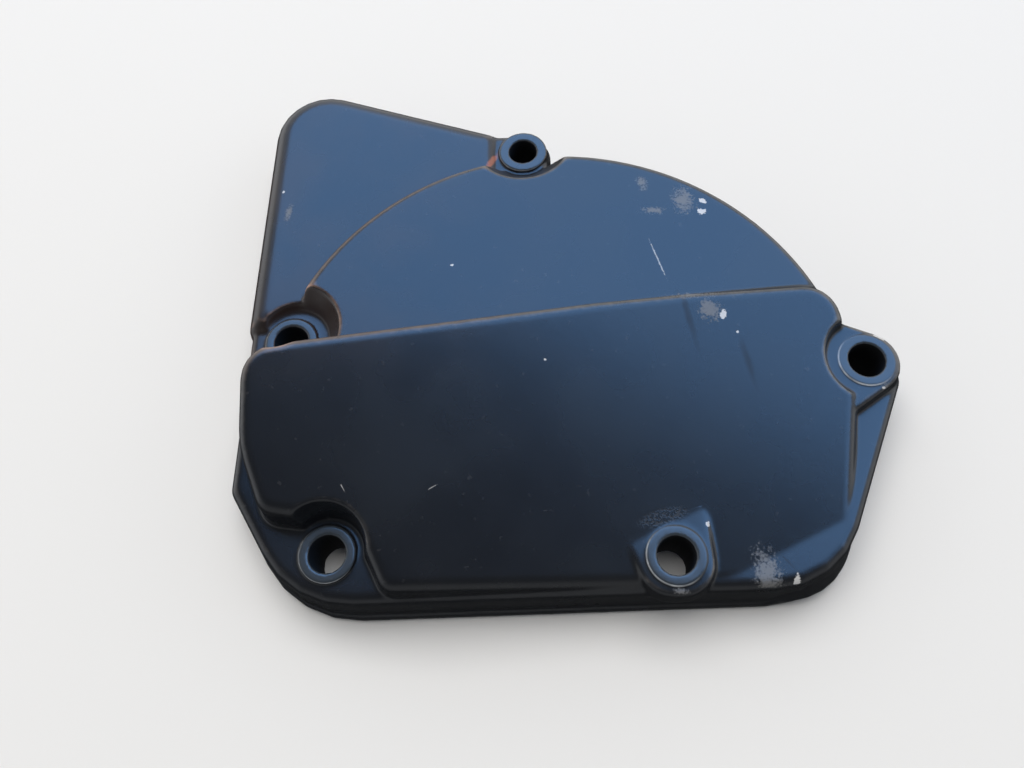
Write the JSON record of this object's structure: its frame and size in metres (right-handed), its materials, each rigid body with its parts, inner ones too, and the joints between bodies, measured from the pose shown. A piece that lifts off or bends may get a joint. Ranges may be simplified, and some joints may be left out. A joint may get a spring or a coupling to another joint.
{
  "type": "ignition cover",
  "caption": "Cast engine side cover with a round dome, a sloped box, a flat plate and screw holes round a gasket face; closes the ignition housing.",
  "frame": {"origin": "centre of the box round the gasket face, on the gasket face", "axes": "+Z out of the outside of the cover, +X along its bottom edge, +Y towards the flat plate"},
  "size_m": [0.1348, 0.1215, 0.0237],
  "materials": {
    "cover": "satin black enamel over a magnesium casting, rubbed at its edges"
  },
  "bodies": {
    "root": {"cover": "cover"}
  },
  "joints": []
}
